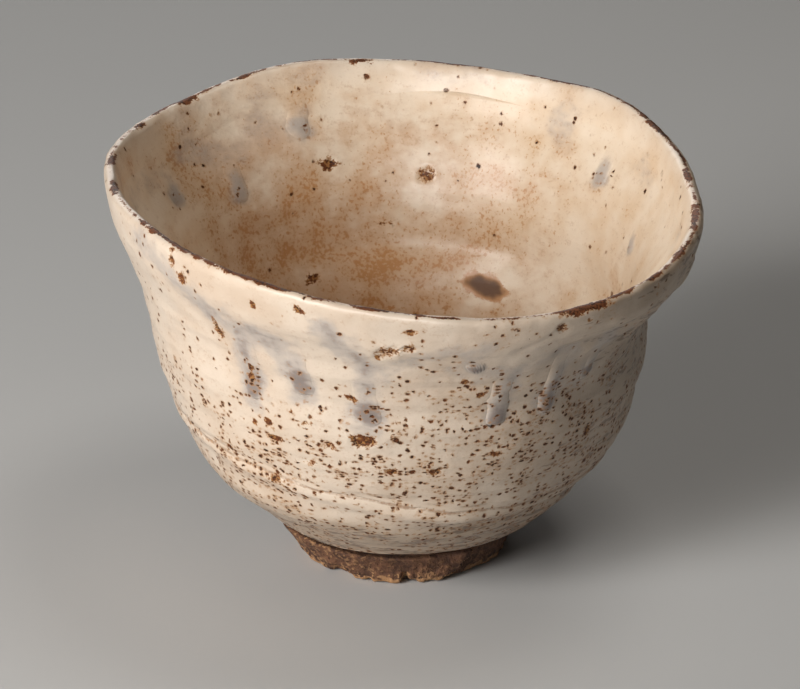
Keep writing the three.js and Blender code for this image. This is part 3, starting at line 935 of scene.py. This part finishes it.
def bare_foot():
    """The cut foot ring: bare, rough, and knocked about at its edge."""
    piece = thrown("bare_foot", foot_outline(), FOOT_COLUMNS)
    bearing = rings_and_bearings(piece)[1]
    points = read_points(piece)
    radius, height = np.hypot(points[:, 0], points[:, 1]), points[:, 2]
    outer = smooth(radius, FOOT_RADIUS - 2.5, FOOT_RADIUS - 0.5)
    low = 1 - smooth(height, 0.3, 3.2)
    crust = toward(bearing, FRONT_LEFT, 38) * outer
    edge = apart(bearing, LEDGE) - 1.5 * height + 0.8 * clouds(points, 2, 14)
    crumbly = outer * np.maximum((1 - smooth(height, 2, 4.2)) * (0.3 + crust), slant(bearing))
    worn = worn_clay(points, height, outer, low, edge)
    torn = np.clip(0.55 * clouds(points * (1, 1, 0.2), 3.4, 11) + 0.2, 0, 1) * low * outer
    rough = foot_roughness(points, height, outer, crust, edge)
    flare = (FOOT_FLARE * height - FOOT_TUCK * (FOOT_HEIGHT - height)) / FOOT_HEIGHT
    radius = radius + slant(bearing) * outer * flare
    radius = radius + rough * np.where(radius > BORE_FOOT + 1.5, 1, 0.5) * (0.35 + 0.65 * outer) - 0.45 * torn
    radius, height = nicked(radius, height, bearing, outer)
    under = (1 - smooth(height, 0, 0.5)) * smooth(0.35 + clouds(points, 3, 13), 0.5, 1)
    height = np.maximum(height + 0.25 * under, 0) * (1 + 0.1 * slant(bearing) * outer)
    write_points(piece, stand_at(radius, height, bearing))
    keep_shares(piece, worn=np.clip(worn, 0, 1), crumbly=np.clip(crumbly, 0, 1))
    return piece


# Finishes


class Value:
    """A number that varies over a surface, so that its sums can be written as sums."""

    def __init__(self, finish, socket):
        self.finish = finish
        self.socket = socket

    def __add__(self, other):
        return self.finish.maths("ADD", self, other)

    def __sub__(self, other):
        return self.finish.maths("SUBTRACT", self, other)

    def __rsub__(self, other):
        return self.finish.maths("SUBTRACT", other, self)

    def __mul__(self, other):
        return self.finish.maths("MULTIPLY", self, other)

    __radd__ = __add__
    __rmul__ = __mul__


class Finish:
    """A procedural material round one Principled shader."""

    def __init__(self, name, **sockets):
        self.material = bpy.data.materials.new(name)
        self.material.use_nodes = True
        self.tree = self.material.node_tree
        self.shader = self.tree.nodes["Principled BSDF"]
        self.fill(self.shader, sockets)
        self.place = self.node("ShaderNodeTexCoord").outputs["Object"]

    def fill(self, node, sockets):
        for key, value in sockets.items():
            socket = node.inputs[key if isinstance(key, int) else key.replace("_", " ")]
            if isinstance(value, Value):
                self.tree.links.new(value.socket, socket)
            elif isinstance(value, bpy.types.NodeSocket):
                self.tree.links.new(value, socket)
            else:
                socket.default_value = value

    def node(self, kind, settings=None, sockets=None):
        node = self.tree.nodes.new(kind)
        for key, value in (settings or {}).items():
            setattr(node, key, value)
        self.fill(node, sockets or {})
        return node

    def maths(self, operation, first, second, third=0):
        sums = self.node("ShaderNodeMath", {"operation": operation}, {0: first, 1: second, 2: third})
        return Value(self, sums.outputs[0])

    def highest(self, first, second):
        return self.maths("MAXIMUM", first, second)

    def smooth(self, value, start, end):
        """0 at start, 1 at end, and an easy curve between them."""
        settings = {"interpolation_type": "SMOOTHSTEP"}
        sockets = {"Value": value, "From Min": start, "From Max": end}
        return Value(self, self.node("ShaderNodeMapRange", settings, sockets).outputs[0])

    def mix(self, share, first, second):
        node = self.node("ShaderNodeMix", {"data_type": "RGBA"}, {0: share, 6: first, 7: second})
        return node.outputs[2]

    def crease(self, away, half_width):
        """1 on a thin line and 0 beside it, from the distance to it in millimetres."""
        return 1 - self.smooth(self.maths("ABSOLUTE", away, 0), 0.2 * half_width, half_width)

    def kept(self, name):
        return Value(self, self.node("ShaderNodeAttribute", {"attribute_name": name}).outputs["Fac"])

    def scaled(self, size, flat=1.0):
        """The place in units of a size in millimetres, with marks drawn out along the throwing lines."""
        scale = (1 / (size * flat * MM), 1 / (size * flat * MM), 1 / (size * MM))
        sockets = {0: self.place, 1: scale}
        return self.node("ShaderNodeVectorMath", {"operation": "MULTIPLY"}, sockets).outputs[0]

    def clouds(self, size, detail=2.0, flat=1.0):
        """Noise from 0 to 1 with features of about a size in millimetres."""
        sockets = {"Vector": self.scaled(size, flat), "Scale": 1.0, "Detail": detail}
        return Value(self, self.node("ShaderNodeTexNoise", None, sockets).outputs[0])

    def bent(self, size, flat, amount):
        """The place in units of a size, pushed about so that round marks turn ragged."""
        place = self.scaled(size, flat)
        push = self.node("ShaderNodeTexNoise", None, {"Vector": place, "Scale": 2.4, "Detail": 2.0})
        settings = {"operation": "MULTIPLY_ADD"}
        sockets = {0: push.outputs["Color"], 1: (amount, amount, amount), 2: place}
        return self.node("ShaderNodeVectorMath", settings, sockets).outputs[0]

    def cells(self, size, flat=1.0, ragged=0.0):
        """Scattered points a size apart: the distance to the nearest, and two numbers of that point's own."""
        place = self.bent(size, flat, ragged)
        node = self.node("ShaderNodeTexVoronoi", None, {"Vector": place, "Scale": 1.0})
        own = self.node("ShaderNodeSeparateColor", None, {0: node.outputs["Color"]})
        return Value(self, node.outputs["Distance"]), Value(self, own.outputs[0]), Value(self, own.outputs[1])

    def relief(self, height, depth):
        """Fine relief, from a height between 0 and 1 and how deep that is in millimetres."""
        sockets = {"Height": height, "Distance": depth * MM, "Strength": 1.0}
        self.fill(self.shader, {"Normal": self.node("ShaderNodeBump", None, sockets).outputs[0]})

    def surface(self, colour, roughness):
        self.fill(self.shader, {"Base Color": colour, "Roughness": roughness})


def swing(noise, amount):
    """Noise about 0, up to half an amount either way."""
    return (noise - 0.5) * amount


# Linear colours
CREAM = (0.66, 0.55, 0.445, 1)
WARM_CREAM = (0.585, 0.455, 0.345, 1)
# Greyer cream: thin glaze low down, and painted shade on the right side.
GREY_CREAM_AND_SHADE = (0.34, 0.25, 0.17, 1)
# The inside creams are paler than the outside ones: painted light, which brightens the inside.
INSIDE_CREAM = (0.78, 0.65, 0.51, 1)
INSIDE_WARM = (0.66, 0.48, 0.315, 1)
PALE_VIOLET = (0.45, 0.39, 0.345, 1)
VIOLET_GREY = (0.235, 0.193, 0.175, 1)
RED_BROWN = (0.18, 0.06, 0.022, 1)
POOL_BROWN = (0.095, 0.05, 0.033, 1)
CREASE_BROWN = (0.24, 0.125, 0.06, 1)
DARK_CREASE = (0.11, 0.062, 0.036, 1)
OCHRE = (0.38, 0.18, 0.06, 1)
RUST = (0.46, 0.205, 0.06, 1)
IRON_BROWN = (0.14, 0.045, 0.015, 1)
BURNT = (0.03, 0.012, 0.006, 1)


# Pinholes: how far apart, how much of the crowd, the widest as a share of that distance, how drawn out,
# and how crowded the place must be before any show
HOLE_SIZES = [
    (3.6, 0.26, 0.18, 1.0, 0),
    (1.9, 0.46, 0.26, 0.85, 0),
    (1.15, 0.42, 0.34, 1.2, 0.2),
    (0.7, 0.28, 0.42, 1.9, 0.45),
]


def burst(finish, size, share, widest, flat):
    """Pinholes of one size at a share of scattered points, each of its own width, and their halos."""
    distance, own, other = finish.cells(size, flat, 0.45)
    ragged = distance + swing(finish.clouds(0.45, 2), 0.45 / size)
    inward = (other * 0.65 + 0.35) * widest - ragged
    here = finish.smooth(own + share - 1, 0, 0.04)
    edge = 0.11 / size
    return finish.smooth(inward, -edge, edge) * here, finish.smooth(inward, -4 * edge, 0.5 * edge) * here


def pinholes(finish):
    """Pinholes of every size and their halos, crowded into clusters."""
    clusters = finish.smooth(finish.wide * 0.35 + finish.middling * 0.65, 0.38, 0.62)
    crowd = finish.kept("pinholes") * (0.45 + clusters * 1.15)
    hole, halo = 0, 0
    for size, share, widest, flat, shy in HOLE_SIZES:
        more_hole, more_halo = burst(finish, size, (crowd - shy) * share, widest, flat)
        hole, halo = finish.highest(hole, more_hole), finish.highest(halo, more_halo)
    return hole, halo


def cloudy_cream(finish, inward, low):
    """Cream that turns warmer in patches, and greyer where the glaze is thin low down and as painted shade on
    the shaded right side. The inside creams are paler, as painted light.
    """
    patch = finish.smooth(finish.wide * 0.6 + finish.middling * 0.4, 0.35, 0.68)
    outside = finish.mix(patch, CREAM, WARM_CREAM)
    # Paler inside: painted light.
    inside = finish.mix(patch, INSIDE_CREAM, INSIDE_WARM)
    return finish.mix(low * 0.7, finish.mix(inward, outside, inside), GREY_CREAM_AND_SHADE)


def rusted(finish, colour, inward):
    """Rust in the glaze: a soft stain, and small flecks inside. Inside, the stain also carries painted shade
    across the back, and is held back at the right as painted light.
    """
    rust, drips = finish.kept("rust"), finish.clouds(0.95, 3, flat=0.8)
    # The stain: rust, and inside also painted shade and painted light.
    stain_and_shade = finish.smooth(rust * 0.9 + swing(finish.middling, 0.9) + swing(finish.fine, 0.5), 0.3, 0.95)
    colour = finish.mix(stain_and_shade * 0.5, colour, RUST)
    clustered = swing(finish.wide, 0.5) + swing(finish.middling, 0.6) + swing(finish.grain, 0.4)
    flecks = finish.smooth(drips + rust * 0.24 + clustered, 0.74, 0.92)
    return finish.mix(flecks * inward * 0.75, colour, RUST)


def run_colour(finish, colour, inward):
    """Violet-grey where the second coat ran, and faint ochre freckles everywhere."""
    ragged = swing(finish.middling, 0.6) + swing(finish.fine, 0.45)
    ran = finish.smooth(finish.kept("lavender") + ragged, 0.05, 1.05) * (1 - inward * 0.35)
    colour = finish.mix(finish.smooth(ran, 0, 0.6) * 0.9, colour, PALE_VIOLET)
    colour = finish.mix(finish.smooth(ran, 0.5, 1), colour, VIOLET_GREY)
    freckles = finish.smooth(finish.fine * 0.5 + finish.grain * 0.5, 0.52, 0.72)
    return finish.mix(freckles * 0.3, colour, OCHRE)


def scratched(finish, colour, lines, low):
    """Fine dark scratches along the throwing lines, where the glaze is thin."""
    strokes = lines * 0.6 + finish.clouds(0.55, 2, flat=3.5) * 0.4
    scratches = finish.smooth(strokes + (low - 1) * 0.25, 0.495, 0.57) * low
    return finish.mix(scratches * 0.7, colour, DARK_CREASE)


def boiled(finish, colour, pool):
    """The dark pool and the rust round it."""
    ragged = pool + swing(finish.fine, 1.3) + swing(finish.grain, 0.5)
    ring = finish.smooth(ragged, 0.0, 0.4) * finish.smooth(pool, 0, 0.08)
    colour = finish.mix(ring * 0.85, colour, RUST)
    dark = finish.smooth(pool + swing(finish.fine, 0.4), 0.35, 1.0)
    return finish.mix(dark * 0.88, colour, POOL_BROWN)


def creases(finish):
    """The line in the groove over the trimming ridge, and in places a fainter one above it."""
    above = finish.kept("ridge")
    groove = finish.crease(above + swing(finish.fine, 0.7), 0.42)
    second = finish.crease(above - 1.5 + swing(finish.middling, 1.5), 0.35)
    return finish.highest(groove, second * finish.smooth(finish.middling, 0.45, 0.6) * 0.5)


def eroded(finish):
    """Where craters lie bare, where the lip is rubbed bare, and where the glaze is thin round both."""
    burst_open, brown = finish.kept("burst"), finish.kept("brown")
    chips = swing(finish.fine, 1.3) + swing(finish.grain, 1.3)
    chewed = burst_open * (0.85 + finish.fine * 0.3) + chips * finish.smooth(burst_open, 0, 0.25)
    frays = swing(finish.middling, 0.7) + swing(finish.fine, 1.8) + swing(finish.grain, 1.2)
    worn = brown * (0.7 + finish.fine * 0.6) + frays * finish.smooth(brown, 0, 0.15)
    thin = finish.highest(finish.smooth(chewed, 0.2, 0.45), finish.smooth(worn, 0.3, 0.5))
    return finish.smooth(chewed, 0.46, 0.56), finish.smooth(worn, 0.5, 0.6), thin


def iron(finish, bare, rubbed):
    """Iron-brown, burnt in hollows: redder where the lip is rubbed, with ochre crumbs in the craters."""
    colour = finish.mix(finish.smooth(finish.grain * 0.5 + finish.fine * 0.5, 0.4, 0.58), BURNT, IRON_BROWN)
    colour = finish.mix(rubbed * finish.smooth(finish.grain, 0.5, 0.62) * 0.6, colour, RED_BROWN)
    crumbs = finish.smooth(finish.clouds(0.8, 2), 0.5, 0.6)
    return finish.mix(crumbs * bare * 0.7, colour, OCHRE)


def glaze(name):
    """Satin feldspar glaze: cloudy cream, violet-grey where it ran, pinholes, and iron where it wore thin."""
    finish = Finish(name, Specular_IOR_Level=0.12, Coat_Roughness=0.35)
    finish.wide, finish.middling = finish.clouds(22, 3), finish.clouds(6, 3)
    finish.fine, finish.grain = finish.clouds(1.6, 3, flat=1.4), finish.clouds(0.5, 2)
    fine, grain, lines = finish.fine, finish.grain, finish.clouds(1.1, 2, flat=7)
    inward, pool = finish.kept("inward"), finish.kept("pool")
    # Greyer: thin glaze low down, and painted shade on the right side.
    low = finish.smooth(finish.kept("thin") + swing(finish.middling, 0.5), 0.05, 0.95)
    colour = cloudy_cream(finish, inward, low)
    colour = rusted(finish, colour, inward)
    colour = run_colour(finish, colour, inward)
    colour = scratched(finish, colour, lines, low)
    colour = boiled(finish, colour, pool)
    crease = creases(finish)
    gritty = finish.smooth(fine * 0.6 + grain * 0.4, 0.3, 0.6)
    colour = finish.mix(crease * gritty * 0.7, colour, CREASE_BROWN)
    hole, halo = pinholes(finish)
    bare, rubbed, thin = eroded(finish)
    colour = finish.mix(finish.highest(thin, halo) * 0.8, colour, OCHRE)
    gone = finish.highest(finish.highest(hole, bare), rubbed)
    colour = finish.mix(gone, colour, iron(finish, bare, rubbed))
    finish.surface(colour, 0.5 + fine * 0.2)
    matt = finish.highest(gone, finish.smooth(pool, 0.3, 0.7)) * 0.85
    finish.fill(finish.shader, {"Coat Weight": (1 - matt) * (0.6 + fine * 0.4)})
    waves = fine * 0.2 + finish.middling * 0.45 + lines * 0.14
    pits = hole * 0.6 + bare * 0.15 + rubbed * 0.12 + crease * 0.3
    finish.relief(0.6 + waves - pits + grain * (0.04 + bare * 0.35 + rubbed * 0.2), 0.45)
    return finish.material


CLAY = (0.15, 0.067, 0.034, 1)
DARK_CLAY = (0.06, 0.025, 0.013, 1)
TAN_CLAY = (0.38, 0.205, 0.095, 1)


def clay(name, worn_edges):
    """Bare fired clay: rough, gritty, darker in its hollows and tan where it is worn or chipped, and on the
    foot tan along the ledge's edge as a painted highlight.
    """
    finish = Finish(name, Specular_IOR_Level=0.3)
    middling, fine, grain = finish.clouds(4.5, 4), finish.clouds(1.1, 4), finish.clouds(0.32, 2)
    streaks = finish.clouds(2.2, 3, flat=4)
    colour = finish.mix(finish.smooth(middling * 0.6 + fine * 0.4, 0.38, 0.62), DARK_CLAY, CLAY)
    rubbed = finish.smooth(streaks * 0.5 + fine * 0.5, 0.52, 0.66) * 0.4
    crumbs = finish.smooth(finish.clouds(1.0, 3), 0.52, 0.6)
    if worn_edges:
        # Worn tan, and the painted highlight along the foot's ledge.
        rubbed = finish.highest(rubbed, finish.smooth(finish.kept("worn") + (fine - 0.5) * 0.9, 0.35, 0.7))
        rubbed = finish.highest(rubbed, crumbs * finish.kept("crumbly") * 0.75)
    colour = finish.mix(rubbed, colour, TAN_CLAY)
    grit, own, _ = finish.cells(1.3)
    speck = (1 - finish.smooth(grit, 0.12, 0.24)) * finish.smooth(own, 0.6, 0.8)
    colour = finish.mix(speck * 0.7, colour, BURNT)
    finish.surface(colour, 0.72 + fine * 0.2)
    finish.relief(middling * 0.4 + fine * 0.4 + grain * 0.15 + rubbed * 0.25 - speck * 0.3, 1.1)
    return finish.material


# The bowl put together

BARE_CLAY = clay("body clay", False)

PIECES = [
    (outside_coat(), "outside_glaze", "cream_glaze", glaze("outside glaze")),
    (inside_coat(), "inside_glaze", "cream_glaze_inside", glaze("inside glaze")),
    (rim_coat(), "rim_glaze", "grey_glaze", glaze("second dip")),
    (clay_wall(), "clay_body", "body_clay", BARE_CLAY),
    (bare_foot(), "foot_ring", "foot_clay", clay("foot clay", True)),
]
for piece, node, slot, material in PIECES:
    piece.data.materials.append(material)
    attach(piece, "root")
    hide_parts(node)

# Floor, light and camera: places and sizes in metres, power in watts

FLOOR_SIZE = 6
FLOOR_GREY = (0.50, 0.50, 0.50, 1)
FLOOR_PALE = (0.53, 0.53, 0.525, 1)
WHITE = (1, 1, 1)
KEY_WHITE = (1, 0.98, 0.95)
WARM_WHITE = (1, 0.95, 0.88)
LIT_PLACE = (0, 0, 0.05)
SHEEN_PLACE = (0, 0, 0.06)
WORLD_STRENGTH = 0.03
CAMERA_PLACE = (-0.00049, -1.0112, 0.4869)
CAMERA_TILT = 66.46
CAMERA_LENS = 229.68
CAMERA_SENSOR = 36
CAMERA_NEAR = 0.05


def pale_floor():
    finish = Finish("pale floor", Specular_IOR_Level=0.2)
    finish.surface(finish.mix(finish.clouds(260, 2), FLOOR_GREY, FLOOR_PALE), 0.7)
    bpy.ops.mesh.primitive_plane_add(size=FLOOR_SIZE, location=(0, 0, 0))
    floor = bpy.context.object
    floor.name = "floor"
    floor.data.materials.append(finish.material)


def soft_light(name, place, aim, width, depth, power, colour):
    bpy.ops.object.light_add(type="AREA", location=place)
    light = bpy.context.object
    light.name = name
    light.data.shape = "RECTANGLE"
    light.data.size = width
    light.data.size_y = depth
    light.data.energy = power
    light.data.color = colour
    light.rotation_euler = (Vector(aim) - Vector(place)).to_track_quat("-Z", "Y").to_euler()
    return light


def sheen(name, place, width, depth, power):
    """A soft light that shows only as a sheen on the glaze."""
    light = soft_light(name, place, SHEEN_PLACE, width, depth, power, WHITE)
    light.visible_diffuse = False


pale_floor()
soft_light("key", (-0.76, -0.75, 0.44), LIT_PLACE, 0.4, 0.8, 18, KEY_WHITE)
soft_light("top", (0.3, 0.1, 1), LIT_PLACE, 0.4, 0.4, 2.2, WARM_WHITE)
sheen("front sheen", (-0.2, -1.0, 0.34), 0.35, 0.3, 7)
sheen("back sheen", (-0.3, 1.0, 0.5), 0.9, 0.5, 4)

world = bpy.context.scene.world or bpy.data.worlds.new("studio")
bpy.context.scene.world = world
world.use_nodes = True
background = world.node_tree.nodes["Background"]
background.inputs["Color"].default_value = (*WARM_WHITE, 1)
background.inputs["Strength"].default_value = WORLD_STRENGTH

bpy.context.scene.view_settings.view_transform = "Standard"

bpy.ops.object.camera_add(location=CAMERA_PLACE)
camera = bpy.context.object
camera.rotation_euler = (math.radians(CAMERA_TILT), 0, 0)
camera.data.lens = CAMERA_LENS
camera.data.sensor_width = CAMERA_SENSOR
camera.data.clip_start = CAMERA_NEAR
bpy.context.scene.camera = camera
